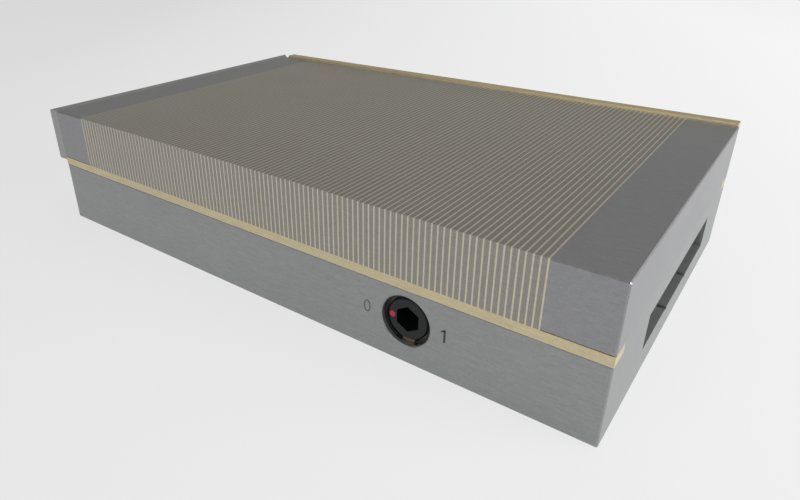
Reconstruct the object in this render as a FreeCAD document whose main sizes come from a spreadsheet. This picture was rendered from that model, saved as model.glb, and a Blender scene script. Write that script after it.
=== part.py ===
"""A permanent magnetic chuck with a fine transverse pole pitch.

Millimetres. +X runs along the chuck, -Y is the front side with the key socket, +Z is up, and the
origin is the centre of the bottom face. A hex key turns the shaft by half a turn, and the two
eccentric journals on it slide the magnet pack along X under the pole plate.
"""
import FreeCAD, Part
import math
import os
import Sketcher

SIZES = {
    # Body of the chuck
    "body_length": 250, "body_width": 150, "base_height": 27, "spacer_height": 3.3,
    "plate_height": 21.7, "edge_chamfer": 0.4, "seam_chamfer": 0.3,
    # Pole plate: steel and brass strips between two solid end blocks
    "end_block_least": 19.5, "strip_steel": 1.5, "strip_brass": 0.5, "spacer_width": 8,
    # Housing
    "end_wall": 15, "side_wall": 15, "cavity_corner": 5,
    # Clamping slot in each end of the housing
    "slot_width": 84, "slot_shift": 4, "slot_level": 10.1, "slot_height": 12.6, "slot_depth": 10,
    "relief_width": 2, "relief_depth": 1, "relief_reach": 13.5,
    # Shaft, its bushes and its retaining ring, from the front face inwards
    "shaft_inset": 62, "shaft_drop": 11.4, "bore_radius": 8.9, "mouth_chamfer": 0.3,
    "face_recess": 1.5, "clip_setback": 1.6, "clip_thickness": 1, "clip_play": 0.1,
    "clip_groove_depth": 0.6, "clip_inner_radius": 7.8, "clip_opening": 5, "clip_hole_radius": 0.5,
    "clip_hole_inset": 1, "front_bush_length": 6, "journal_radius": 7.5, "running_fit": 0.05,
    "collar_play": 0.1, "collar_length": 5.4, "collar_radius": 8.4,
    "stem_radius": 4, "rear_bush_radius": 6, "rear_bush_length": 10,
    "rear_bore_depth": 11, "rear_end_play": 0.5, "face_chamfer": 0.55,
    "key_flats": 8, "key_depth": 12, "dot_radius": 1.15, "dot_depth": 0.4, "dot_place": 5.7,
    # Eccentric journals and the sleeves on them
    "eccentricity": 3, "eccentric_radius": 4.1, "eccentric_overhang": 1,
    "sleeve_radius": 5.5, "sleeve_length": 8.4,
    # Stop pin and its groove in the collar
    "stop_pin_radius": 1.5, "stop_pin_length": 8, "stop_pin_bite": 2, "stop_play": 0.3,
    "stop_turn": 180,
    # Magnet pack
    "slide_width": 12, "slide_thickness": 2.4, "slide_end_gap": 10, "slide_spread": 40,
    "slide_gap": 0.3, "sleeve_floor_gap": 0.4, "pack_top_gap": 0.3, "pack_side_gap": 0.3, "pack_end_gap": 1,
    "frame_floor": 2, "frame_end_least": 3.8, "frame_side": 6.7, "frame_web": 1.5,
    "pole_bar": 4.5, "magnet_bar": 7.5, "channel_half": 8,
    "yoke_width": 30, "yoke_thickness": 8, "yoke_inset": 1.7, "yoke_play": 0.95,
    "yoke_headroom": 0.5, "yoke_corner": 1,
    # Screws: nominal radius, head radius, head height
    "thread_gap": 0.05, "hole_gap": 0.3,
    "cap_six_radius": 3, "cap_six_head": 5, "cap_six_height": 6, "cap_six_key": 5,
    "cap_five_radius": 2.5, "cap_five_head": 4.25, "cap_five_height": 5, "cap_five_key": 4,
    "socket_depth": 3, "head_room": 0.5, "hole_extra": 1,
    "plate_screw_inset": 7.5, "plate_screw_setback": 18, "plate_screw_sink": 7,
    "plate_screw_length": 35,
    # Stop plate on the left end
    "stop_thickness": 5.4, "stop_height": 23, "stop_mitre": 4.4, "stop_chamfer": 0.5,
    "stop_gap": 0.02, "stop_travel": 5, "stop_screw_drop": 10, "stop_screw_setback": 25,
    "stop_screw_length": 16, "stop_slot_gap": 0.25,
    # Stop rail on the rear side
    "rail_thickness": 5.4, "rail_left_setback": 2.7, "rail_right_setback": 0.5, "rail_rise": 1,
    "rail_height": 45, "rail_drop": 1, "rail_travel": 4, "rail_screw_rise": 9,
    "rail_screw_setback": 35,
}

DERIVED = {
    "half_length": "Sizes.body_length / 2",
    "half_width": "Sizes.body_width / 2",
    "plate_bottom": "Sizes.base_height + Sizes.spacer_height",
    "plate_top": "Derived.plate_bottom + Sizes.plate_height",
    "strip_pitch": "Sizes.strip_steel + Sizes.strip_brass",
    "strip_count": "floor((Sizes.body_length - 2 * Sizes.end_block_least - Sizes.strip_brass)"
                   " / Derived.strip_pitch)",
    "core_length": "Derived.strip_count * Derived.strip_pitch + Sizes.strip_brass",
    "core_left": "-Derived.core_length / 2",
    "cavity_half_length": "Derived.half_length - Sizes.end_wall",
    "cavity_half_width": "Derived.half_width - Sizes.side_wall",
    "shaft_place": "Derived.half_length - Sizes.shaft_inset",
    "shaft_level": "Sizes.base_height - Sizes.shaft_drop",
    "floor_top": "Derived.shaft_level - Sizes.sleeve_radius - Sizes.sleeve_floor_gap"
                 " - Sizes.frame_floor - Sizes.slide_gap - Sizes.slide_thickness",
    "slot_left": "Sizes.slot_shift - Sizes.slot_width / 2",
    "slot_right": "Sizes.slot_shift + Sizes.slot_width / 2",
    "clip_groove_end": "Sizes.clip_setback + Sizes.clip_thickness + Sizes.clip_play",
    "front_bush_end": "Derived.clip_groove_end + Sizes.front_bush_length",
    "collar_start": "Derived.front_bush_end + Sizes.collar_play",
    "collar_end": "Derived.collar_start + Sizes.collar_length",
    "rear_bush_start": "Sizes.body_width - Sizes.side_wall",
    "shaft_end": "Derived.rear_bush_start + Sizes.rear_bore_depth - Sizes.rear_end_play",
    "slide_top": "Derived.floor_top + Sizes.slide_thickness",
    "slide_half_length": "Derived.cavity_half_length - Sizes.slide_end_gap",
    "pack_bottom": "Derived.slide_top + Sizes.slide_gap",
    "pack_top": "Derived.plate_bottom - Sizes.pack_top_gap",
    "pack_floor": "Derived.pack_bottom + Sizes.frame_floor",
    "pack_left": "-Derived.cavity_half_length + Sizes.pack_end_gap",
    "pack_right": "Derived.cavity_half_length - Sizes.pack_end_gap - 2 * Sizes.eccentricity",
    "pack_half_width": "Derived.cavity_half_width - Sizes.pack_side_gap",
    "bay_half_width": "Derived.pack_half_width - Sizes.frame_side",
    "pole_pitch": "Sizes.pole_bar + Sizes.magnet_bar",
    "yoke_place": "Derived.shaft_place - Sizes.eccentricity",
    "yoke_outer": "Derived.pack_half_width - Sizes.yoke_inset",
    "yoke_inner": "Derived.yoke_outer - Sizes.yoke_thickness",
    "yoke_slot_half": "Sizes.sleeve_radius + Sizes.yoke_play",
    "yoke_slot_top": "Derived.shaft_level + Sizes.eccentricity + Sizes.sleeve_radius"
                     " + Sizes.yoke_headroom",
    "left_bay_end": "Derived.yoke_place - Sizes.yoke_width / 2 - Sizes.frame_web",
    "left_bay_count": "floor((Derived.left_bay_end - Derived.pack_left - Sizes.frame_end_least"
                      " - Sizes.pole_bar) / Derived.pole_pitch)",
    "left_bay_start": "Derived.left_bay_end - Derived.left_bay_count * Derived.pole_pitch"
                      " - Sizes.pole_bar",
    "right_bay_start": "Derived.yoke_place + Sizes.yoke_width / 2 + Sizes.frame_web",
    "right_bay_count": "floor((Derived.pack_right - Sizes.frame_end_least"
                       " - Derived.right_bay_start - Sizes.pole_bar) / Derived.pole_pitch)",
    "right_bay_end": "Derived.right_bay_start + Derived.right_bay_count * Derived.pole_pitch"
                     " + Sizes.pole_bar",
    "rail_top": "Derived.plate_top + Sizes.rail_rise",
    "rail_screw_level": "Derived.rail_top - Sizes.rail_height + Sizes.rail_screw_rise",
    "rail_screw_pitch": "Derived.half_length - Sizes.rail_screw_setback",
    "stop_screw_level": "Derived.plate_top - Sizes.stop_screw_drop",
    "stop_screw_pitch": "Derived.half_width - Sizes.stop_screw_setback",
}

NODES = []
NEAR = 0.001


# The document, its sheet of sizes and the values worked out from them

def make_sheet(doc):
    sheet = doc.addObject("Spreadsheet::Sheet", "Sizes")
    for row, (name, value) in enumerate(SIZES.items(), start=1):
        sheet.set("A%d" % row, name)
        sheet.set("B%d" % row, str(value))
        sheet.setAlias("B%d" % row, name)
    doc.recompute()
    return sheet


def make_derived(doc):
    derived = doc.addObject("App::VarSet", "Derived")
    for name in DERIVED:
        derived.addProperty("App::PropertyFloat", name)
    for name, expression in DERIVED.items():
        derived.setExpression(name, expression)
    doc.recompute()
    return derived


def value(expression):
    """The number that an expression on the sheet gives."""
    return float(DERIVED_SET.evalExpression(expression))


def whole(expression):
    return int(round(value(expression)))


# Sketches: each coordinate is an expression, bound to a named constraint

def origin_item(body, role):
    return [item for item in body.Origin.OriginFeatures if item.Role == role][0]


def sketch(body, name, role, offset="0"):
    """A sketch on an origin plane of its body, offset along the plane's normal."""
    made = body.newObject("Sketcher::SketchObject", name)
    made.AttachmentSupport = [(origin_item(body, role), "")]
    made.MapMode = "FlatFace"
    made.setExpression(".AttachmentOffset.Base.z", offset)
    return made


def bind(target, kind, geometry, point, expression):
    """Tie a point's distance from the sketch's origin, or a radius, to an expression."""
    if kind == "Radius":
        constraint = Sketcher.Constraint(kind, geometry, abs(value(expression)))
    else:
        constraint = Sketcher.Constraint(kind, -1, 1, geometry, point, value(expression))
    index = target.addConstraint(constraint)
    name = "size_%d" % index
    target.renameConstraint(index, name)
    target.setExpression("Constraints." + name, expression)


def polygon(target, points):
    """A closed outline through points, each a pair of expressions."""
    places = [FreeCAD.Vector(value(x), value(y), 0) for x, y in points]
    count = len(points)
    lines = []
    for index in range(count):
        edge = Part.LineSegment(places[index], places[(index + 1) % count])
        lines.append(target.addGeometry(edge, False))
    for index, line in enumerate(lines):
        following = lines[(index + 1) % count]
        target.addConstraint(Sketcher.Constraint("Coincident", line, 2, following, 1))
    for line, (x, y) in zip(lines, points):
        bind(target, "DistanceX", line, 1, x)
        bind(target, "DistanceY", line, 1, y)


def rectangle(target, left, low, right, high):
    """A rectangle held by two opposite corners."""
    corners = [(left, low), (right, low), (right, high), (left, high)]
    places = [FreeCAD.Vector(value(x), value(y), 0) for x, y in corners]
    lines = []
    for index in range(4):
        edge = Part.LineSegment(places[index], places[(index + 1) % 4])
        lines.append(target.addGeometry(edge, False))
    for index in range(4):
        following = lines[(index + 1) % 4]
        target.addConstraint(Sketcher.Constraint("Coincident", lines[index], 2, following, 1))
    for index in (0, 2):
        target.addConstraint(Sketcher.Constraint("Horizontal", lines[index]))
    for index in (1, 3):
        target.addConstraint(Sketcher.Constraint("Vertical", lines[index]))
    bind(target, "DistanceX", lines[0], 1, left)
    bind(target, "DistanceY", lines[0], 1, low)
    bind(target, "DistanceX", lines[2], 1, right)
    bind(target, "DistanceY", lines[2], 1, high)


def circle(target, across, up, radius):
    centre = FreeCAD.Vector(value(across), value(up), 0)
    round_edge = Part.Circle(centre, FreeCAD.Vector(0, 0, 1), value(radius))
    made = target.addGeometry(round_edge, False)
    bind(target, "Radius", made, 0, radius)
    bind(target, "DistanceX", made, 3, across)
    bind(target, "DistanceY", made, 3, up)


def upright_slot(target, across, low, high, radius):
    """A slot with round ends, between the centres low and high."""
    x, bottom, top, r = value(across), value(low), value(high), value(radius)
    normal = FreeCAD.Vector(0, 0, 1)
    upper = Part.Circle(FreeCAD.Vector(x, top, 0), normal, r)
    lower = Part.Circle(FreeCAD.Vector(x, bottom, 0), normal, r)
    left_side = Part.LineSegment(FreeCAD.Vector(x - r, top, 0), FreeCAD.Vector(x - r, bottom, 0))
    right_side = Part.LineSegment(FreeCAD.Vector(x + r, bottom, 0), FreeCAD.Vector(x + r, top, 0))
    chain = [
        target.addGeometry(Part.ArcOfCircle(upper, 0, math.pi), False),
        target.addGeometry(left_side, False),
        target.addGeometry(Part.ArcOfCircle(lower, math.pi, 2 * math.pi), False),
        target.addGeometry(right_side, False),
    ]
    for index in range(4):
        following = chain[(index + 1) % 4]
        target.addConstraint(Sketcher.Constraint("Tangent", chain[index], 2, following, 1))
    target.addConstraint(Sketcher.Constraint("Equal", chain[0], chain[2]))
    bind(target, "Radius", chain[0], 0, radius)
    for arc, up in ((chain[0], high), (chain[2], low)):
        bind(target, "DistanceX", arc, 3, across)
        bind(target, "DistanceY", arc, 3, up)


# Features of a body

def new_body(label):
    body = DOC.addObject("PartDesign::Body", label)
    body.Label = label
    body.AllowCompound = True
    NODES.append(body)
    return body


def pad(body, profile, length, reverse=False):
    feature = body.newObject("PartDesign::Pad", profile.Name + "_pad")
    feature.Profile = profile
    feature.setExpression("Length", length)
    feature.Reversed = reverse
    DOC.recompute()
    return feature


def revolve(body, profile, axis="V_Axis"):
    feature = body.newObject("PartDesign::Revolution", profile.Name + "_turn")
    feature.Profile = profile
    feature.ReferenceAxis = (profile, [axis])
    DOC.recompute()
    return feature


def must_cut(body, before, feature):
    if body.Shape.Volume > before - NEAR:
        raise RuntimeError(feature.Name + " cuts nothing")


def pocket(body, profile, depth, reverse=False):
    before = body.Shape.Volume
    feature = body.newObject("PartDesign::Pocket", profile.Name + "_cut")
    feature.Profile = profile
    feature.setExpression("Length", depth)
    feature.Reversed = reverse
    DOC.recompute()
    must_cut(body, before, feature)
    return feature


def groove(body, profile, angle="360 deg", axis="V_Axis"):
    """Turn a profile about an axis and take it away, evenly to both sides of its plane."""
    before = body.Shape.Volume
    feature = body.newObject("PartDesign::Groove", profile.Name + "_turn")
    feature.Profile = profile
    feature.ReferenceAxis = (profile, [axis])
    feature.setExpression("Angle", angle)
    feature.Midplane = True
    DOC.recompute()
    must_cut(body, before, feature)
    return feature


def mirror(body, features, role):
    """Repeat features on the other side of an origin plane."""
    made = body.newObject("PartDesign::Mirrored", features[-1].Name + "_mirror")
    made.Originals = features
    made.MirrorPlane = (origin_item(body, role), [""])
    body.Tip = made
    DOC.recompute()
    return made


def mirror_all(body):
    """Add the mirror image of the whole body on the other side of its XZ plane."""
    single = body.Shape.Volume
    made = body.newObject("PartDesign::Mirrored", body.Label + "_pair")
    made.MirrorPlane = (origin_item(body, "XZ_Plane"), [""])
    made.TransformMode = "Whole shape"
    made.Originals = []
    body.Tip = made
    DOC.recompute()
    if not close(body.Shape.Volume, 2 * single):
        raise RuntimeError(body.Label + " has no second half")


def repeat(body, features, role, length, count):
    """Repeat features in a row along an origin axis."""
    made = body.newObject("PartDesign::LinearPattern", features[-1].Name + "_row")
    made.Originals = features
    made.Direction = (origin_item(body, role), [""])
    made.setExpression("Length", length)
    made.setExpression("Occurrences", count)
    body.Tip = made
    DOC.recompute()
    return made


def bevel(body, size, wanted, rounded=False):
    """Chamfer or fillet the edges for which wanted(edge) is true."""
    base = body.Tip
    names = []
    for index, edge in enumerate(base.Shape.Edges, start=1):
        if wanted(edge):
            names.append("Edge%d" % index)
    if not names:
        raise RuntimeError(body.Label + " has no edge to bevel")
    kind = "Fillet" if rounded else "Chamfer"
    feature = body.newObject("PartDesign::" + kind, "%s_%s" % (base.Name, kind.lower()))
    feature.Base = (base, names)
    feature.setExpression("Radius" if rounded else "Size", size)
    DOC.recompute()
    return feature


def close(first, second):
    return abs(first - second) < 10 * NEAR


def edge_box(edge):
    """The lowest and highest x, y and z of an edge's two ends."""
    ends = [vertex.Point for vertex in edge.Vertexes]
    return [(min(end[k] for end in ends), max(end[k] for end in ends)) for k in range(3)]


def edge_at(edge, **places):
    """Whether an edge lies in the given planes, such as z=0; a plane may be (a, b) for either."""
    box = edge_box(edge)
    for name, wanted in places.items():
        low, high = box["xyz".index(name)]
        options = wanted if isinstance(wanted, tuple) else (wanted,)
        if not any(close(low, option) and close(high, option) for option in options):
            return False
    return True


# Groups of the same fastener: one master and a link to it at each place

def place(target, x, y, z, turn=None):
    """Bind a placement's position to expressions, with an optional fixed rotation."""
    if turn is not None:
        target.Placement = FreeCAD.Placement(FreeCAD.Vector(), turn)
    for axis, expression in zip("xyz", (x, y, z)):
        target.setExpression(".Placement.Base." + axis, expression)


def group(label, master, spots, turn=None):
    """A node that holds a copy of the master at each spot, a triple of expressions."""
    NODES.remove(master)
    master.Label = label + "_master"
    links = []
    for index, spot in enumerate(spots):
        link = DOC.addObject("App::Link", "%s_%d" % (label, index))
        link.LinkedObject = master
        place(link, *spot, turn=turn)
        links.append(link)
    compound = DOC.addObject("Part::Compound", label)
    compound.Label = label
    compound.Links = links
    NODES.append(compound)
    DOC.recompute()
    return compound


def hexagon(target, flats):
    """A hexagon round the origin, with corners up and down, for a key of a size across flats."""
    across = "%s / 2" % flats
    low = "%s / (2 * sqrt(3))" % flats
    high = "%s / sqrt(3)" % flats
    polygon(target, [(across, "-" + low), (across, low), ("0", high),
                     ("-" + across, low), ("-" + across, "-" + low), ("0", "-" + high)])


def cap_screw(label, kind, length):
    """A socket head screw: the seat of its head at the origin, its head up, its shank down."""
    body = new_body(label)
    head = "Sizes.%s_head" % kind
    shank = "Sizes.%s_radius" % kind
    height = "Sizes.%s_height" % kind
    profile = sketch(body, label + "_profile", "XZ_Plane")
    polygon(profile, [("0", "-" + length), (shank, "-" + length), (shank, "0"), (head, "0"),
                      (head, height), ("0", height)])
    revolve(body, profile)
    key = sketch(body, label + "_key", "XY_Plane", height)
    hexagon(key, "Sizes.%s_key" % kind)
    pocket(body, key, "Sizes.socket_depth")
    return body


def rows(*lists):
    """Every combination of the given expressions."""
    spots = [()]
    for items in lists:
        spots = [spot + (item,) for spot in spots for item in items]
    return spots


def both(expression):
    return ["-(%s)" % expression, expression]


# The housing and the pole plate

def plate_screw_places():
    return rows(both("Derived.half_length - Sizes.plate_screw_inset"),
                both("Derived.half_width - Sizes.plate_screw_setback"))


def rail_screw_places():
    return ["-Derived.rail_screw_pitch", "0", "Derived.rail_screw_pitch"]


def stop_screw_places():
    return both("Derived.stop_screw_pitch")


def make_housing():
    body = new_body("housing")
    block = sketch(body, "housing_block", "XY_Plane")
    rectangle(block, "-Derived.half_length", "-Derived.half_width",
              "Derived.half_length", "Derived.half_width")
    pad(body, block, "Derived.plate_bottom")
    housing_bevels(body)
    housing_cavity(body)
    housing_bores(body)
    housing_slots(body)
    housing_screw_holes(body)


def housing_bevels(body):
    across = value("Derived.half_length")
    deep = value("Derived.half_width")

    def outer(edge):
        upright = edge_at(edge, x=(-across, across), y=(-deep, deep))
        return upright or edge_at(edge, z=0)
    bevel(body, "Sizes.edge_chamfer", outer)


def housing_cavity(body):
    cavity = sketch(body, "housing_cavity", "XY_Plane", "Derived.plate_bottom")
    rectangle(cavity, "-Derived.cavity_half_length", "-Derived.cavity_half_width",
              "Derived.cavity_half_length", "Derived.cavity_half_width")
    pocket(body, cavity, "Derived.plate_bottom - Derived.floor_top")
    across = value("Derived.cavity_half_length")
    deep = value("Derived.cavity_half_width")
    bevel(body, "Sizes.cavity_corner",
          lambda edge: edge_at(edge, x=(-across, across), y=(-deep, deep)), rounded=True)
    rebate = sketch(body, "housing_rebate", "XY_Plane", "Derived.plate_bottom")
    rectangle(rebate, "-Derived.half_length", "-Derived.half_width",
              "Derived.half_length", "-Derived.half_width + Sizes.spacer_width")
    cut = pocket(body, rebate, "Sizes.spacer_height")
    mirror(body, [cut], "XZ_Plane")
    front, level = value("Derived.half_width"), value("Sizes.base_height")
    bevel(body, "Sizes.seam_chamfer", lambda edge: edge_at(edge, y=(-front, front), z=level))


def housing_bores(body):
    front = sketch(body, "housing_bore", "XZ_Plane", "Derived.half_width")
    circle(front, "Derived.shaft_place", "Derived.shaft_level", "Sizes.bore_radius")
    pocket(body, front, "Sizes.side_wall")
    ring = sketch(body, "housing_clip_groove", "XZ_Plane", "Derived.half_width - Sizes.clip_setback")
    circle(ring, "Derived.shaft_place", "Derived.shaft_level",
           "Sizes.bore_radius + Sizes.clip_groove_depth")
    pocket(body, ring, "Sizes.clip_thickness + Sizes.clip_play")
    rear = sketch(body, "housing_rear_bore", "XZ_Plane", "-Derived.cavity_half_width")
    circle(rear, "Derived.shaft_place", "Derived.shaft_level", "Sizes.rear_bush_radius")
    pocket(body, rear, "Sizes.rear_bore_depth")
    pin = sketch(body, "housing_pin_hole", "XY_Plane", "0")
    circle(pin, "Derived.shaft_place", stop_pin_place(), "Sizes.stop_pin_radius + Sizes.thread_gap")
    pocket(body, pin, "Derived.shaft_level", reverse=True)
    deep = -value("Derived.half_width")
    bore = value("Sizes.bore_radius")

    def mouth(edge):
        circular = isinstance(edge.Curve, Part.Circle) and close(edge.Curve.Radius, bore)
        return circular and close(edge.Curve.Center.y, deep)
    bevel(body, "Sizes.mouth_chamfer", mouth)


def housing_slots(body):
    slot = sketch(body, "housing_slot", "YZ_Plane", "Derived.half_length")
    rectangle(slot, "Derived.slot_left", "Sizes.slot_level",
              "Derived.slot_right", "Sizes.slot_level + Sizes.slot_height")
    cuts = [pocket(body, slot, "Sizes.slot_depth")]
    relief = sketch(body, "housing_relief", "YZ_Plane", "Derived.half_length")
    for side in both("Sizes.relief_reach"):
        middle = "Sizes.slot_shift + " + side
        rectangle(relief, middle + " - Sizes.relief_width / 2",
                  "Sizes.slot_level - Sizes.relief_depth",
                  middle + " + Sizes.relief_width / 2", "Sizes.slot_level")
    cuts.append(pocket(body, relief, "Sizes.slot_depth"))
    mirror(body, cuts, "YZ_Plane")


def housing_screw_holes(body):
    shank = sketch(body, "housing_screw_holes", "XY_Plane")
    sink = sketch(body, "housing_screw_sinks", "XY_Plane")
    for x, y in plate_screw_places():
        circle(shank, x, y, "Sizes.cap_six_radius + Sizes.hole_gap")
        circle(sink, x, y, "Sizes.cap_six_head + Sizes.head_room")
    pocket(body, shank, "Derived.plate_bottom", reverse=True)
    pocket(body, sink, "Sizes.plate_screw_sink", reverse=True)
    rail = sketch(body, "housing_rail_holes", "XZ_Plane", "-Derived.half_width")
    for x in rail_screw_places():
        circle(rail, x, "Derived.rail_screw_level", "Sizes.cap_five_radius + Sizes.thread_gap")
    pocket(body, rail, "Sizes.stop_screw_length - Sizes.rail_thickness + Sizes.hole_extra",
           reverse=True)


def make_spacer_bars():
    for label, side in (("front_spacer_bar", "-"), ("rear_spacer_bar", "")):
        body = new_body(label)
        bar = sketch(body, label + "_outline", "XY_Plane", "Sizes.base_height")
        middle = side + "(Derived.half_width - Sizes.spacer_width / 2)"
        rectangle(bar, "-Derived.half_length", middle + " - Sizes.spacer_width / 2",
                  "Derived.half_length", middle + " + Sizes.spacer_width / 2")
        pad(body, bar, "Sizes.spacer_height")


def block_section(target):
    """An end block's section: bevelled along its long edges, above and at the seam below."""
    outer = "Derived.half_width"
    inner = outer + " - Sizes.edge_chamfer"
    foot = outer + " - Sizes.seam_chamfer"
    seam = "Derived.plate_bottom + Sizes.seam_chamfer"
    shoulder = "Derived.plate_top - Sizes.edge_chamfer"
    right = [(foot, "Derived.plate_bottom"), (outer, seam), (outer, shoulder),
             (inner, "Derived.plate_top")]
    left = [("-(%s)" % across, up) for across, up in reversed(right)]
    polygon(target, right + left)


def make_end_block(label, side):
    """A solid end of the pole plate; side is -1 for the left, under the stop, and 1 for the right."""
    body = new_body(label)
    offset = "Derived.half_length" if side > 0 else "Derived.core_left"
    section = sketch(body, label + "_section", "YZ_Plane", offset)
    block_section(section)
    pad(body, section, "Derived.half_length + Derived.core_left", reverse=True)
    if side > 0:
        across, low = value("Derived.half_length"), value("Derived.plate_bottom")
        bevel(body, "Sizes.edge_chamfer",
              lambda edge: edge_at(edge, x=across) and not edge_at(edge, z=low))
    holes = sketch(body, label + "_holes", "XY_Plane", "Derived.plate_bottom")
    for x, y in plate_screw_places():
        if value(x) * side > 0:
            circle(holes, x, y, "Sizes.cap_six_radius + Sizes.thread_gap")
    pocket(body, holes, "Sizes.plate_screw_sink + Sizes.plate_screw_length"
           " - Derived.plate_bottom + Sizes.hole_extra", reverse=True)
    if side < 0:
        stops = sketch(body, label + "_stop_holes", "YZ_Plane", "-Derived.half_length")
        for y in stop_screw_places():
            circle(stops, y, "Derived.stop_screw_level", "Sizes.cap_five_radius + Sizes.thread_gap")
        pocket(body, stops, "Sizes.stop_screw_length - Sizes.stop_thickness + Sizes.hole_extra",
               reverse=True)


def make_strips(label, start, thickness, count):
    """A row of strips, one pitch apart."""
    body = new_body(label)
    section = sketch(body, label + "_section", "YZ_Plane", start)
    rectangle(section, "-Derived.half_width", "Derived.plate_bottom",
              "Derived.half_width", "Derived.plate_top")
    strip = pad(body, section, thickness)
    repeat(body, [strip], "X_Axis", "Derived.strip_pitch * (%s - 1)" % count, count)


def make_plate_screws():
    screw = cap_screw("plate_screw", "cap_six", "Sizes.plate_screw_length")
    spots = [(x, y, "Sizes.plate_screw_sink") for x, y in plate_screw_places()]
    upside_down = FreeCAD.Rotation(FreeCAD.Vector(1, 0, 0), 180)
    group("pole_plate_screws", screw, spots, turn=upside_down)


# The shaft and what carries it. Their own Z axis is the shaft's axis, from the front face inwards

def lay_on_shaft(target):
    """Turn a piece made about its own Z axis onto the shaft's axis."""
    place(target, "Derived.shaft_place", "-Derived.half_width", "Derived.shaft_level",
          turn=FreeCAD.Rotation(FreeCAD.Vector(1, 0, 0), -90))


def stop_pin_place():
    return "-Derived.half_width + Derived.collar_start + Sizes.collar_length / 2"


def make_shaft():
    body = new_body("actuating_shaft")
    profile = sketch(body, "shaft_profile", "XZ_Plane")
    journal, collar = "Sizes.journal_radius", "Sizes.collar_radius"
    polygon(profile, [
        ("0", "Sizes.face_recess"), (journal + " - Sizes.face_chamfer", "Sizes.face_recess"),
        (journal, "Sizes.face_recess + Sizes.face_chamfer"), (journal, "Derived.collar_start"),
        (collar, "Derived.collar_start"), (collar, "Derived.collar_end"),
        ("0", "Derived.collar_end"),
    ])
    revolve(body, profile)
    offset = "-Sizes.eccentricity"
    front_step = "Derived.half_width - Derived.yoke_inner + Sizes.eccentric_overhang"
    rear_step = "Derived.half_width + Derived.yoke_inner - Sizes.eccentric_overhang"
    journal_step = "Derived.rear_bush_start - Sizes.pack_side_gap"
    steps = (
        ("front_eccentric", "Derived.collar_end", front_step, offset, "Sizes.eccentric_radius"),
        ("stem", front_step, rear_step, "0", "Sizes.stem_radius"),
        ("rear_eccentric", rear_step, journal_step, offset, "Sizes.eccentric_radius"),
        ("rear_journal", journal_step, "Derived.shaft_end", "0", "Sizes.stem_radius"),
    )
    for name, start, end, shift, radius in steps:
        section = sketch(body, "shaft_" + name, "XY_Plane", start)
        circle(section, shift, "0", radius)
        pad(body, section, "%s - (%s)" % (end, start))
    key = sketch(body, "shaft_key", "XY_Plane", "Sizes.face_recess")
    hexagon(key, "Sizes.key_flats")
    pocket(body, key, "Sizes.key_depth", reverse=True)
    dot = sketch(body, "shaft_dot", "XY_Plane", "Sizes.face_recess")
    circle(dot, "-Sizes.dot_place", "0", "Sizes.dot_radius + Sizes.thread_gap")
    pocket(body, dot, "Sizes.dot_depth", reverse=True)
    stop = sketch(body, "shaft_stop_groove", "XZ_Plane")
    middle = "Derived.collar_start + Sizes.collar_length / 2"
    half = "(Sizes.stop_pin_radius + Sizes.stop_play)"
    rectangle(stop, collar + " - Sizes.stop_pin_bite - Sizes.stop_play", middle + " - " + half,
              collar + " + Sizes.hole_extra", middle + " + " + half)
    reach = "%s / (%s - Sizes.stop_pin_bite)" % (half, collar)
    groove(body, stop, "Sizes.stop_turn * 1 deg + 2 * asin(%s)" % reach)
    lay_on_shaft(body)


def make_index_dot():
    dot = DOC.addObject("Part::Cylinder", "index_dot")
    dot.Label = "index_dot"
    dot.setExpression("Radius", "Sizes.dot_radius")
    dot.setExpression("Height", "Sizes.dot_depth")
    place(dot, "Derived.shaft_place - Sizes.dot_place",
          "-Derived.half_width + Sizes.face_recess", "Derived.shaft_level",
          turn=FreeCAD.Rotation(FreeCAD.Vector(1, 0, 0), -90))
    NODES.append(dot)


def make_ring(label, start, length, inner, outer):
    """A plain ring about the shaft's axis."""
    body = new_body(label)
    profile = sketch(body, label + "_profile", "XZ_Plane")
    rectangle(profile, inner, start, outer, "%s + %s" % (start, length))
    revolve(body, profile)
    lay_on_shaft(body)


def make_sleeves():
    body = new_body("eccentric_sleeves")
    start = "Derived.half_width - (Derived.yoke_outer + Derived.yoke_inner) / 2" \
            " - Sizes.sleeve_length / 2"
    ring = sketch(body, "sleeve_ring", "XY_Plane", start)
    circle(ring, "-Sizes.eccentricity", "0", "Sizes.sleeve_radius")
    circle(ring, "-Sizes.eccentricity", "0", "Sizes.eccentric_radius + Sizes.thread_gap")
    sleeve = pad(body, ring, "Sizes.sleeve_length")
    repeat(body, [sleeve], "Z_Axis", "Derived.yoke_outer + Derived.yoke_inner", "2")
    lay_on_shaft(body)


def make_circlip():
    """A flat retaining ring, open at the bottom between two plier holes."""
    body = new_body("bush_circlip")
    ring = sketch(body, "clip_ring", "XY_Plane", "Sizes.clip_setback + Sizes.clip_play / 2")
    outer = "Sizes.bore_radius + Sizes.clip_groove_depth - Sizes.thread_gap"
    circle(ring, "0", "0", outer)
    circle(ring, "0", "0", "Sizes.clip_inner_radius")
    pad(body, ring, "Sizes.clip_thickness")
    gap = sketch(body, "clip_gap", "XY_Plane", "Sizes.clip_setback")
    rectangle(gap, "-Sizes.clip_opening / 2", "Sizes.clip_inner_radius / 2",
              "Sizes.clip_opening / 2", outer + " + Sizes.hole_extra")
    middle = "(%s + Sizes.clip_inner_radius) / 2" % outer
    reach = "(Sizes.clip_opening / 2 + Sizes.clip_hole_inset)"
    for side in both(reach):
        circle(gap, side, "sqrt((%s)^2 - %s^2)" % (middle, reach), "Sizes.clip_hole_radius")
    pocket(body, gap, "Sizes.clip_thickness + Sizes.clip_play", reverse=True)
    lay_on_shaft(body)


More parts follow.
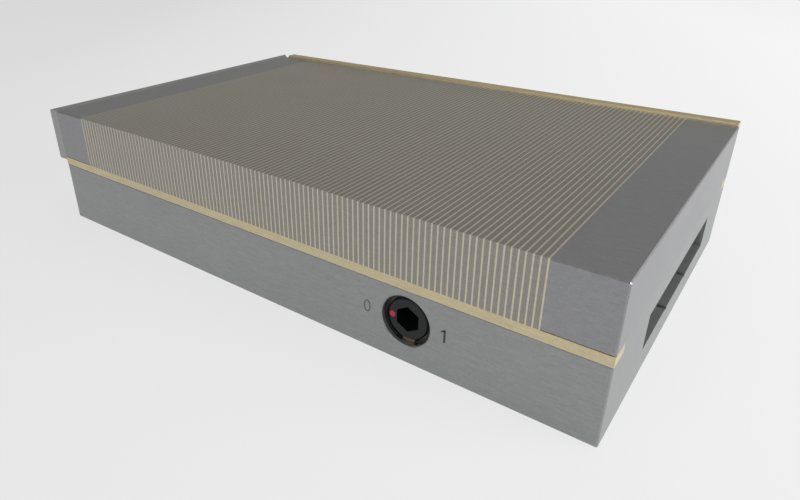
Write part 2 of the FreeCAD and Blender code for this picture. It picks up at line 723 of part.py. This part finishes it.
def make_stop_pin():
    pin = DOC.addObject("Part::Cylinder", "stop_pin")
    pin.Label = "stop_pin"
    pin.setExpression("Radius", "Sizes.stop_pin_radius")
    pin.setExpression("Height", "Sizes.stop_pin_length")
    place(pin, "Derived.shaft_place", stop_pin_place(),
          "Derived.shaft_level - Sizes.collar_radius + Sizes.stop_pin_bite - Sizes.stop_pin_length")
    NODES.append(pin)


# The magnet pack, drawn at rest: its yokes stand one eccentricity left of the shaft

def make_pack_frame():
    body = new_body("pack_frame")
    block = sketch(body, "frame_block", "XY_Plane", "Derived.pack_bottom")
    rectangle(block, "Derived.pack_left", "-Derived.pack_half_width",
              "Derived.pack_right", "Derived.pack_half_width")
    pad(body, block, "Derived.pack_top - Derived.pack_bottom")
    left, right = value("Derived.pack_left"), value("Derived.pack_right")
    deep = value("Derived.pack_half_width")
    bevel(body, "Sizes.cavity_corner",
          lambda edge: edge_at(edge, x=(left, right), y=(-deep, deep)))
    bays = sketch(body, "frame_bays", "XY_Plane", "Derived.pack_top")
    for start, end in (("left_bay_start", "left_bay_end"), ("right_bay_start", "right_bay_end")):
        rectangle(bays, "Derived." + start, "-Derived.bay_half_width",
                  "Derived." + end, "Derived.bay_half_width")
    pocket(body, bays, "Derived.pack_top - Derived.pack_floor")
    channel = sketch(body, "frame_channel", "XY_Plane", "Derived.pack_top")
    rectangle(channel, "Derived.yoke_place - Sizes.channel_half", "-Derived.pack_half_width",
              "Derived.yoke_place + Sizes.channel_half", "Derived.pack_half_width")
    pocket(body, channel, "Derived.pack_top - Derived.pack_floor")
    seat = sketch(body, "frame_yoke_seat", "XY_Plane", "Derived.pack_top")
    rectangle(seat, "Derived.yoke_place - Sizes.yoke_width / 2", "-Derived.yoke_outer",
              "Derived.yoke_place + Sizes.yoke_width / 2", "-Derived.yoke_inner")
    cut = pocket(body, seat, "Derived.pack_top - Derived.pack_floor")
    mirror(body, [cut], "XZ_Plane")


def make_yokes():
    body = new_body("drive_yokes")
    outline = sketch(body, "yoke_outline", "XZ_Plane", "Derived.yoke_inner")
    left = "Derived.yoke_place - Sizes.yoke_width / 2"
    right = "Derived.yoke_place + Sizes.yoke_width / 2"
    slot_left = "Derived.yoke_place - Derived.yoke_slot_half"
    slot_right = "Derived.yoke_place + Derived.yoke_slot_half"
    polygon(outline, [
        (left, "Derived.pack_floor"), (slot_left, "Derived.pack_floor"),
        (slot_left, "Derived.yoke_slot_top"), (slot_right, "Derived.yoke_slot_top"),
        (slot_right, "Derived.pack_floor"), (right, "Derived.pack_floor"),
        (right, "Derived.pack_top"), (left, "Derived.pack_top"),
    ])
    pad(body, outline, "Sizes.yoke_thickness")
    top, edges = value("Derived.pack_top"), (value(left), value(right))
    bevel(body, "Sizes.yoke_corner", lambda edge: edge_at(edge, x=edges, z=top))
    mirror_all(body)


def bay_boxes(label, first, thickness, counts, split):
    """Bars across both bays; each bar is split into a number of blocks along its length."""
    solids = []
    length = value("2 * Derived.bay_half_width") / split
    height = value("Derived.pack_top - Derived.pack_floor")
    low = value("Derived.pack_floor")
    for start, count in counts:
        for index in range(count):
            x = start + first + index * value("Derived.pole_pitch")
            for block in range(split):
                y = -value("Derived.bay_half_width") + block * length
                corner = FreeCAD.Vector(x, y, low)
                solids.append(Part.makeBox(thickness, length, height, corner))
    node = DOC.addObject("Part::Feature", label)
    node.Label = label
    node.Shape = Part.makeCompound(solids)
    NODES.append(node)


def make_magnets_and_poles():
    bays = (("left_bay_start", "left_bay_count"), ("right_bay_start", "right_bay_count"))
    starts = [(value("Derived." + start), whole("Derived." + count)) for start, count in bays]
    pole, magnet = value("Sizes.pole_bar"), value("Sizes.magnet_bar")
    bay_boxes("pack_magnets", pole, magnet, starts, 2)
    bay_boxes("pack_pole_bars", 0, pole, [(start, count + 1) for start, count in starts], 1)


def make_slide_strips():
    body = new_body("slide_strips")
    strip = sketch(body, "slide_strip", "XY_Plane", "Derived.floor_top")
    rectangle(strip, "-Derived.slide_half_length", "Sizes.slide_spread - Sizes.slide_width / 2",
              "Derived.slide_half_length", "Sizes.slide_spread + Sizes.slide_width / 2")
    pad(body, strip, "Sizes.slide_thickness")
    mirror_all(body)


# The adjustable stops

def make_stop_screws(label, spots, turn):
    screw = cap_screw(label + "_shape", "cap_five", "Sizes.stop_screw_length")
    group(label, screw, spots, turn=turn)


def make_left_stop():
    body = new_body("left_stop_plate")
    outline = sketch(body, "stop_outline", "XY_Plane", "Derived.plate_top - Sizes.stop_height")
    near = "-Derived.half_length - Sizes.stop_gap"
    far = near + " - Sizes.stop_thickness"
    rear = "Derived.half_width + Sizes.rail_thickness"
    polygon(outline, [(far, "-Derived.half_width"), (near, "-Derived.half_width"),
                      (near, rear + " - Sizes.stop_mitre"), (far, rear)])
    pad(body, outline, "Sizes.stop_height")
    top, across = value("Derived.plate_top"), value(far)
    bevel(body, "Sizes.stop_chamfer", lambda edge: edge_at(edge, x=across, z=top))
    slots = sketch(body, "stop_slots", "YZ_Plane", near)
    for y in stop_screw_places():
        upright_slot(slots, y, "Derived.stop_screw_level - Sizes.stop_travel",
                     "Derived.stop_screw_level", "Sizes.cap_five_radius + Sizes.stop_slot_gap")
    pocket(body, slots, "Sizes.stop_thickness")
    outside = far + " - Sizes.stop_gap"
    spots = [(outside, y, "Derived.stop_screw_level") for y in stop_screw_places()]
    make_stop_screws("left_stop_screws", spots, FreeCAD.Rotation(FreeCAD.Vector(0, 1, 0), -90))


def make_rear_rail():
    body = new_body("rear_stop_rail")
    near = "Derived.half_width + Sizes.stop_gap"
    outline = sketch(body, "rail_outline", "XZ_Plane", "-(%s)" % near)
    left = "-Derived.half_length + Sizes.rail_left_setback"
    right = "Derived.half_length - Sizes.rail_right_setback"
    rectangle(outline, left, "Derived.rail_top - Sizes.rail_height", right, "Derived.rail_top")
    pad(body, outline, "Sizes.rail_thickness", reverse=True)
    top = value("Derived.rail_top")
    sides = (value(near), value(near + " + Sizes.rail_thickness"))
    bevel(body, "Sizes.edge_chamfer", lambda edge: edge_at(edge, y=sides, z=top))
    slots = sketch(body, "rail_slots", "XZ_Plane", "-(%s)" % near)
    for x in rail_screw_places():
        upright_slot(slots, x, "Derived.rail_screw_level - Sizes.rail_travel",
                     "Derived.rail_screw_level + Sizes.rail_drop",
                     "Sizes.cap_five_radius + Sizes.stop_slot_gap")
    pocket(body, slots, "Sizes.rail_thickness")
    outside = near + " + Sizes.rail_thickness + Sizes.stop_gap"
    spots = [(x, outside, "Derived.rail_screw_level") for x in rail_screw_places()]
    make_stop_screws("rear_rail_screws", spots, FreeCAD.Rotation(FreeCAD.Vector(1, 0, 0), -90))


def check_document():
    for item in DOC.Objects:
        if "Invalid" in item.State or "Error" in item.State:
            raise RuntimeError("%s: %s" % (item.Label, item.State))
    for node in NODES:
        shape = node.Shape
        if shape.isNull() or not shape.isValid() or not shape.Solids:
            raise RuntimeError(node.Label + " has no valid solid")


def export_nodes():
    os.makedirs("parts", exist_ok=True)
    for node in NODES:
        node.Shape.exportStep("parts/%s.step" % node.Label)
        box = node.Shape.BoundBox
        print("%-20s %3d solids, %10.1f mm3, z %.1f to %.1f"
              % (node.Label, len(node.Shape.Solids), node.Shape.Volume, box.ZMin, box.ZMax))


DOC = FreeCAD.newDocument("magnetic_chuck")
make_sheet(DOC)
DERIVED_SET = make_derived(DOC)
make_housing()
make_spacer_bars()
make_end_block("left_end_block", -1)
make_end_block("right_end_block", 1)
make_strips("steel_pole_strips", "Derived.core_left + Sizes.strip_brass", "Sizes.strip_steel",
            "Derived.strip_count")
make_strips("brass_gap_strips", "Derived.core_left", "Sizes.strip_brass",
            "Derived.strip_count + 1")
make_plate_screws()
make_ring("front_bush", "Derived.clip_groove_end", "Sizes.front_bush_length",
          "Sizes.journal_radius + Sizes.running_fit", "Sizes.bore_radius - Sizes.thread_gap")
make_ring("rear_bush", "Derived.rear_bush_start", "Sizes.rear_bush_length",
          "Sizes.stem_radius + Sizes.running_fit", "Sizes.rear_bush_radius - Sizes.thread_gap")
make_circlip()
make_stop_pin()
make_shaft()
make_index_dot()
make_sleeves()
make_slide_strips()
make_pack_frame()
make_yokes()
make_magnets_and_poles()
make_left_stop()
make_rear_rail()
DOC.recompute()
check_document()
export_nodes()
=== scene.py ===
"""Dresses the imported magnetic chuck: materials, engraved digits, floor, lamps and camera."""
import math

import bmesh
import bpy
from mathutils import Matrix, Vector


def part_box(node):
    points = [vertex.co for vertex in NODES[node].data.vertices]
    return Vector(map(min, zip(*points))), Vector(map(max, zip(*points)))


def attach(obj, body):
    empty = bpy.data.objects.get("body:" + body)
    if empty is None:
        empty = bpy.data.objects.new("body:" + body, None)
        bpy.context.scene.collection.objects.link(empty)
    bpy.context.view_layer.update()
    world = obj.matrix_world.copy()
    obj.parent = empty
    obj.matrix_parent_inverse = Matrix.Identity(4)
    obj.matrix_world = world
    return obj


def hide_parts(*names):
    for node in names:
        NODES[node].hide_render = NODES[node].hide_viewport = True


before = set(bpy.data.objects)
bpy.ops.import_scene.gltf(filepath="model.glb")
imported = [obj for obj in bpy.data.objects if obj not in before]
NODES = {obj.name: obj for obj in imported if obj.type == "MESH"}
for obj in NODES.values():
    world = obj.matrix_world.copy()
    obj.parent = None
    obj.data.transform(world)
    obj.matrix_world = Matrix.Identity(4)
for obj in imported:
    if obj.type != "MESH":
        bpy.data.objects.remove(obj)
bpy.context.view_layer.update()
scene = bpy.context.scene
scene.view_settings.view_transform = "Standard"


# Node trees

class Tree:
    """A material's or the world's node tree, with short calls to add and join nodes."""

    def __init__(self, owner):
        owner.use_nodes = True
        self.tree = owner.node_tree
        self.tree.nodes.clear()

    def add(self, kind, inputs=None, **settings):
        node = self.tree.nodes.new(kind)
        for name, value in settings.items():
            setattr(node, name, value)
        for socket, value in (inputs or {}).items():
            self.feed(node.inputs[socket], value)
        return node

    def feed(self, socket, value):
        """Link a socket to a node's first output or to an output, or set a plain value."""
        if isinstance(value, bpy.types.Node):
            value = value.outputs[0]
        if isinstance(value, bpy.types.NodeSocket):
            self.tree.links.new(value, socket)
        else:
            socket.default_value = value

    def math(self, operation, *values):
        return self.add("ShaderNodeMath", dict(enumerate(values)), operation=operation)

    def scaled(self, scale):
        """Object coordinates stretched by a factor along each axis."""
        place = self.add("ShaderNodeTexCoord").outputs["Object"]
        return self.add("ShaderNodeMapping", {"Vector": place, "Scale": scale})

    def noise(self, vector, detail=3.0, rough=0.6, scale=1.0):
        values = {"Vector": vector, "Scale": scale, "Detail": detail, "Roughness": rough}
        return self.add("ShaderNodeTexNoise", values)

    def ramp(self, factor, stops):
        """A colour ramp; stops are (place, colour) pairs."""
        node = self.add("ShaderNodeValToRGB", {"Fac": factor})
        node.color_ramp.elements[0].position = stops[0][0]
        node.color_ramp.elements[1].position = stops[-1][0]
        for place, _ in stops[1:-1]:
            node.color_ramp.elements.new(place)
        for element, (_, colour) in zip(node.color_ramp.elements, stops):
            element.color = (*colour, 1.0)
        return node

    def spread(self, factor, low, high):
        """Map a factor of 0.25 to 0.75 onto a range."""
        values = {"Value": factor, "From Min": 0.25, "From Max": 0.75,
                  "To Min": low, "To Max": high}
        return self.add("ShaderNodeMapRange", values)


# Texture frequencies along X, Y and Z, per metre
SIDE_GRAIN = (220, 220, 2200)
LONG_GRAIN = (260, 2400, 2400)
CROSS_GRAIN = (2400, 260, 2400)
TURNED_GRAIN = (2400, 300, 2400)
PIN_GRAIN = (1800, 1800, 300)
SPECK_GRAIN = (1500, 1500, 1500)
CLOUD_GRAIN = (26, 26, 40)

STREAK_SHARE = 0.65
PATCH_SHADE = 0.8
METAL_RELIEF = 0.00005
COATING_RELIEF = 0.00003


def shade(colour, factor):
    return tuple(min(1.0, channel * factor) for channel in colour)


def metal(name, colour, grain, metallic=0.7, roughness=0.42, contrast=0.16, bump=0.25,
          patches=0.08, tint=None):
    """Ground or brushed metal: fine streaks, soft patches and a matching roughness and bump."""
    material = bpy.data.materials.new(name)
    tree = Tree(material)
    streaks = tree.noise(tree.scaled(grain), detail=4.0, rough=0.7)
    specks = tree.noise(tree.scaled(SPECK_GRAIN), detail=2.0, rough=0.6)
    clouds = tree.noise(tree.scaled(CLOUD_GRAIN), detail=3.0, rough=0.55)
    mixed = tree.math("MULTIPLY_ADD", streaks, STREAK_SHARE,
                      tree.math("MULTIPLY", specks, 1 - STREAK_SHARE))
    grained = tree.ramp(mixed, [(0.30, shade(colour, 1 - contrast)), (0.5, colour),
                                (0.70, shade(colour, 1 + contrast))])
    patch = tint or shade(colour, PATCH_SHADE)
    share = tree.spread(clouds, 0.0, patches * 2)
    painted = tree.add("ShaderNodeMix", data_type="RGBA")
    tree.feed(painted.inputs[0], share)
    tree.feed(painted.inputs[6], grained)
    tree.feed(painted.inputs[7], (*patch, 1.0))
    relief = tree.add("ShaderNodeBump",
                      {"Height": mixed, "Strength": bump, "Distance": METAL_RELIEF})
    rough = tree.spread(tree.math("MULTIPLY_ADD", clouds, 0.5, tree.math("MULTIPLY", mixed, 0.5)),
                        roughness - 0.06, roughness + 0.06)
    shader = tree.add("ShaderNodeBsdfPrincipled",
                      {"Base Color": painted.outputs[2], "Metallic": metallic,
                       "Roughness": rough, "Normal": relief})
    tree.add("ShaderNodeOutputMaterial", {"Surface": shader})
    return material


def plain(name, colour, metallic=0.0, roughness=0.5, contrast=0.1, scale=900, bump=0.15):
    """A coating or moulded material with a fine, even texture."""
    material = bpy.data.materials.new(name)
    tree = Tree(material)
    fine = tree.noise(tree.scaled((scale, scale, scale)), detail=3.0)
    painted = tree.ramp(fine, [(0.3, shade(colour, 1 - contrast)),
                               (0.7, shade(colour, 1 + contrast))])
    relief = tree.add("ShaderNodeBump",
                      {"Height": fine, "Strength": bump, "Distance": COATING_RELIEF})
    shader = tree.add("ShaderNodeBsdfPrincipled",
                      {"Base Color": painted, "Metallic": metallic,
                       "Roughness": tree.spread(fine, roughness - 0.05, roughness + 0.05),
                       "Normal": relief})
    tree.add("ShaderNodeOutputMaterial", {"Surface": shader})
    return material


def dress(material, *names):
    for name in names:
        mesh = NODES[name].data
        mesh.materials.clear()
        mesh.materials.append(material)


dress(metal("housing_steel", (0.285, 0.295, 0.290), SIDE_GRAIN), "housing")
dress(metal("block_steel", (0.270, 0.272, 0.278), LONG_GRAIN),
      "left_end_block", "right_end_block")
dress(metal("strip_steel", (0.275, 0.262, 0.238), LONG_GRAIN), "steel_pole_strips")
dress(metal("strip_brass", (0.56, 0.52, 0.40), LONG_GRAIN, contrast=0.1), "brass_gap_strips")
dress(metal("spacer_brass", (0.56, 0.49, 0.31), SIDE_GRAIN, tint=(0.50, 0.36, 0.24)),
      "front_spacer_bar", "rear_spacer_bar")
dress(metal("rail_brass", (0.55, 0.46, 0.27), SIDE_GRAIN), "rear_stop_rail")
dress(metal("stop_steel", (0.33, 0.33, 0.33), SIDE_GRAIN), "left_stop_plate")
dress(plain("screw_black", (0.030, 0.030, 0.034), metallic=0.6, roughness=0.42),
      "pole_plate_screws", "left_stop_screws", "rear_rail_screws")
dress(plain("shaft_black", (0.012, 0.013, 0.014), metallic=0.5, roughness=0.40),
      "actuating_shaft")
dress(plain("clip_black", (0.016, 0.018, 0.018), metallic=0.6, roughness=0.38), "bush_circlip")
dress(metal("bush_bronze", (0.40, 0.26, 0.12), TURNED_GRAIN), "front_bush", "rear_bush")
dress(metal("slide_bronze", (0.42, 0.28, 0.13), LONG_GRAIN), "slide_strips")
dress(metal("pin_steel", (0.35, 0.35, 0.36), PIN_GRAIN), "stop_pin")
dress(metal("frame_aluminium", (0.55, 0.56, 0.57), LONG_GRAIN), "pack_frame")
dress(metal("magnet_dark", (0.12, 0.12, 0.125), CROSS_GRAIN), "pack_magnets")
dress(metal("bar_steel", (0.26, 0.26, 0.265), CROSS_GRAIN), "pack_pole_bars")
dress(metal("yoke_steel", (0.24, 0.24, 0.245), SIDE_GRAIN), "drive_yokes", "eccentric_sleeves")


def add_piece(name, mesh, material, smooth=False):
    data = bpy.data.meshes.new(name)
    mesh.to_mesh(data)
    mesh.free()
    data.materials.append(material)
    for polygon in data.polygons:
        polygon.use_smooth = smooth
    piece = bpy.data.objects.new(name, data)
    scene.collection.objects.link(piece)
    return piece


# The red index dot: a domed drop of enamel in its recess in the shaft's face

DOT_RISE = 0.00022
DOT_RINGS = 6
DOT_STEPS = 32


def circle_angles(steps):
    return [2 * math.pi * i / steps for i in range(steps)]


def make_dot():
    low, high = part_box("index_dot")
    radius = (high.x - low.x) / 2
    centre = Vector(((low.x + high.x) / 2, low.y, (low.z + high.z) / 2))
    mesh = bmesh.new()

    def ring(ring_radius, depth):
        return [mesh.verts.new(centre + Vector((ring_radius * math.cos(a), depth,
                                                ring_radius * math.sin(a))))
                for a in circle_angles(DOT_STEPS)]

    loops = [ring(radius, high.y - low.y)]
    for level in range(DOT_RINGS):
        slope = math.pi / 2 * level / DOT_RINGS
        loops.append(ring(radius * math.cos(slope), -DOT_RISE * math.sin(slope)))
    tip = mesh.verts.new(centre + Vector((0, -DOT_RISE, 0)))
    for inner, outer in zip(loops[1:], loops):
        for i in range(DOT_STEPS):
            j = (i + 1) % DOT_STEPS
            mesh.faces.new((outer[i], outer[j], inner[j], inner[i]))
    for i in range(DOT_STEPS):
        mesh.faces.new((loops[-1][i], loops[-1][(i + 1) % DOT_STEPS], tip))
    mesh.faces.new(loops[0][::-1])
    bmesh.ops.recalc_face_normals(mesh, faces=mesh.faces)
    enamel = plain("dot_enamel", (0.42, 0.012, 0.035), roughness=0.35, contrast=0.12, bump=0.05)
    return add_piece("red_dot", mesh, enamel, smooth=True)


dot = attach(make_dot(), "actuator")
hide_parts("index_dot")


# The two stamped digits beside the key socket, drawn as thin dark marks on the front face; their
# darkness is partly the stamps' own colour and partly painted shade of the stamped recesses

DIGIT_HEIGHT = 0.0044
DIGIT_DEPTH = 0.00004
DIGIT_LIFT = 0.0004
ZERO_OFFSET = 0.0146
ZERO_HALF_WIDTH = 0.0011
ZERO_HALF_HEIGHT = DIGIT_HEIGHT * 0.47
ZERO_STEPS = 40
ZERO_STROKE = 0.00042
ONE_OFFSET = 0.0141
ONE_STEM = 0.00062
ONE_FLAG = 0.0005


def stroke(mesh, points, width, closed=False):
    """A flat ribbon along points on the front face, a little proud of it."""
    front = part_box("housing")[0].y - DIGIT_DEPTH
    count = len(points)
    rows = []
    for i, point in enumerate(points):
        before = points[(i - 1) % count] if closed or i else point
        after = points[(i + 1) % count] if closed or i < count - 1 else point
        along = (Vector(after) - Vector(before)).normalized()
        side = Vector((-along.y, along.x)) * width / 2
        rows.append([mesh.verts.new((point[0] + sign * side.x, front, point[1] + sign * side.y))
                     for sign in (-1, 1)])
    for i in range(count if closed else count - 1):
        a, b = rows[i], rows[(i + 1) % count]
        mesh.faces.new((a[0], b[0], b[1], a[1]))


def make_digits():
    shaft_low, shaft_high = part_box("actuating_shaft")
    across = (shaft_low.x + shaft_high.x) / 2
    level = (shaft_low.z + shaft_high.z) / 2 + DIGIT_LIFT
    zero = bmesh.new()
    stroke(zero, [(across - ZERO_OFFSET + ZERO_HALF_WIDTH * math.cos(a),
                   level + ZERO_HALF_HEIGHT * math.sin(a))
                  for a in circle_angles(ZERO_STEPS)], ZERO_STROKE, closed=True)
    one = bmesh.new()
    x = across + ONE_OFFSET
    top, foot = level + DIGIT_HEIGHT / 2, level - DIGIT_HEIGHT / 2
    stroke(one, [(x - 0.0012, top - 0.0009), (x - 0.0005, top - 0.0004), (x, top)], ONE_FLAG)
    stroke(one, [(x, top + 0.0001), (x, foot)], ONE_STEM)
    # Painted shade: the marks' dark colours stand in partly for the shade inside the stamped
    # recesses
    faint = plain("stamp_faint_recess_shade", (0.13, 0.135, 0.135), metallic=0.5, roughness=0.5)
    dark = plain("stamp_dark_recess_shade", (0.035, 0.035, 0.036), metallic=0.3, roughness=0.5)
    for name, mesh, material in (("digit_zero", zero, faint), ("digit_one", one, dark)):
        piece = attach(add_piece(name, mesh, material), "chuck_body")
        thick = piece.modifiers.new("thickness", "SOLIDIFY")
        thick.thickness = DIGIT_DEPTH * 2
        thick.offset = 0


make_digits()


# Floor, world, lamps and camera

FLOOR_HALF_SIZE = 6
FLOOR_GLOW = 0.86
SOFT_LIGHT = 0.35
LAMP_TARGET = Vector((0, 0, 0.03))
CAMERA_PLACE = (0.14997, -0.21246, 0.12862)
CAMERA_TURN = 37.18
CAMERA_DIP = 25.96
CAMERA_ROLL = -0.49

def seen_directly(tree):
    """1 for what the camera, a reflection or a clear material shows, 0 for light on surfaces."""
    path = tree.add("ShaderNodeLightPath").outputs
    seen = tree.math("MAXIMUM", path["Is Camera Ray"], path["Is Glossy Ray"])
    return tree.math("MAXIMUM", seen, path["Is Transmission Ray"])


def make_floor():
    """A pale floor with painted light, a little brighter towards the rear right, that keeps some
    of its shadow.
    """
    mesh = bmesh.new()
    bmesh.ops.create_grid(mesh, x_segments=1, y_segments=1, size=FLOOR_HALF_SIZE)
    material = bpy.data.materials.new("floor_pale")
    tree = Tree(material)
    place = tree.add("ShaderNodeTexCoord").outputs["Object"]
    parts = tree.add("ShaderNodeSeparateXYZ", {"Vector": place}).outputs
    # Painted light: the floor's glowing colour brightens towards the rear right, for the camera
    # and for reflections alike
    across = tree.math("MULTIPLY_ADD", parts["X"], 0.8, tree.math("MULTIPLY", parts["Y"], 0.6))
    share = tree.add("ShaderNodeMapRange", {"Value": across, "From Min": -0.35,
                                            "From Max": 0.45, "To Min": 0.0, "To Max": 1.0})
    colour = tree.ramp(share, [(0.0, (0.74, 0.74, 0.745)), (1.0, (0.96, 0.96, 0.965))])
    glow = tree.add("ShaderNodeEmission", {"Color": colour, "Strength": 1.0})
    matt = tree.add("ShaderNodeBsdfDiffuse", {"Color": (0.8, 0.8, 0.8, 1.0)})
    shown = tree.math("MULTIPLY", seen_directly(tree), FLOOR_GLOW)
    mixed = tree.add("ShaderNodeMixShader", {0: shown, 1: matt, 2: glow})
    tree.add("ShaderNodeOutputMaterial", {"Surface": mixed})
    add_piece("floor", mesh, material)


def make_world():
    """White near the horizon and greyer above, seen by the camera and by reflections alike."""
    world = bpy.data.worlds.new("studio")
    scene.world = world
    tree = Tree(world)
    place = tree.add("ShaderNodeTexCoord").outputs["Generated"]
    height = tree.add("ShaderNodeSeparateXYZ", {"Vector": place}).outputs["Z"]
    shown = tree.ramp(height, [(0.02, (0.90, 0.90, 0.91)), (0.16, (0.45, 0.44, 0.42)),
                               (0.34, (0.20, 0.19, 0.175)), (1.0, (0.16, 0.16, 0.16))])
    seen = tree.add("ShaderNodeBackground", {"Color": shown, "Strength": 1.0})
    soft = tree.add("ShaderNodeBackground", {"Color": (1, 1, 1, 1), "Strength": SOFT_LIGHT})
    mixed = tree.add("ShaderNodeMixShader", {0: seen_directly(tree), 1: soft, 2: seen})
    tree.add("ShaderNodeOutputWorld", {"Surface": mixed})


def make_lamp(name, place, size, power):
    """A white area lamp that faces the chuck."""
    data = bpy.data.lights.new(name, "AREA")
    data.shape = "RECTANGLE"
    data.size, data.size_y = size
    data.energy = power
    lamp = bpy.data.objects.new(name, data)
    lamp.location = place
    lamp.rotation_euler = (Vector(place) - LAMP_TARGET).to_track_quat("Z", "Y").to_euler()
    scene.collection.objects.link(lamp)


def make_camera():
    """The viewing angle: turned 37 degrees to the right and 26 degrees down."""
    data = bpy.data.cameras.new("camera")
    data.sensor_width = 36
    data.lens = 28.175
    data.shift_x = 0.0502
    data.shift_y = -0.0328
    data.clip_start = 0.01
    camera = bpy.data.objects.new("camera", data)
    turn = (Matrix.Rotation(math.radians(CAMERA_TURN), 4, "Z")
            @ Matrix.Rotation(math.radians(90 - CAMERA_DIP), 4, "X")
            @ Matrix.Rotation(math.radians(CAMERA_ROLL), 4, "Z"))
    camera.matrix_world = Matrix.Translation(CAMERA_PLACE) @ turn
    scene.collection.objects.link(camera)
    scene.camera = camera


make_floor()
make_world()
make_lamp("right_lamp", (0.9, 0.15, 0.35), (0.7, 0.5), 9)
make_lamp("front_lamp", (-0.1, -1.0, 0.45), (0.9, 0.5), 4)
make_lamp("top_lamp", (0.0, 0.2, 1.1), (0.9, 0.9), 3)
make_camera()
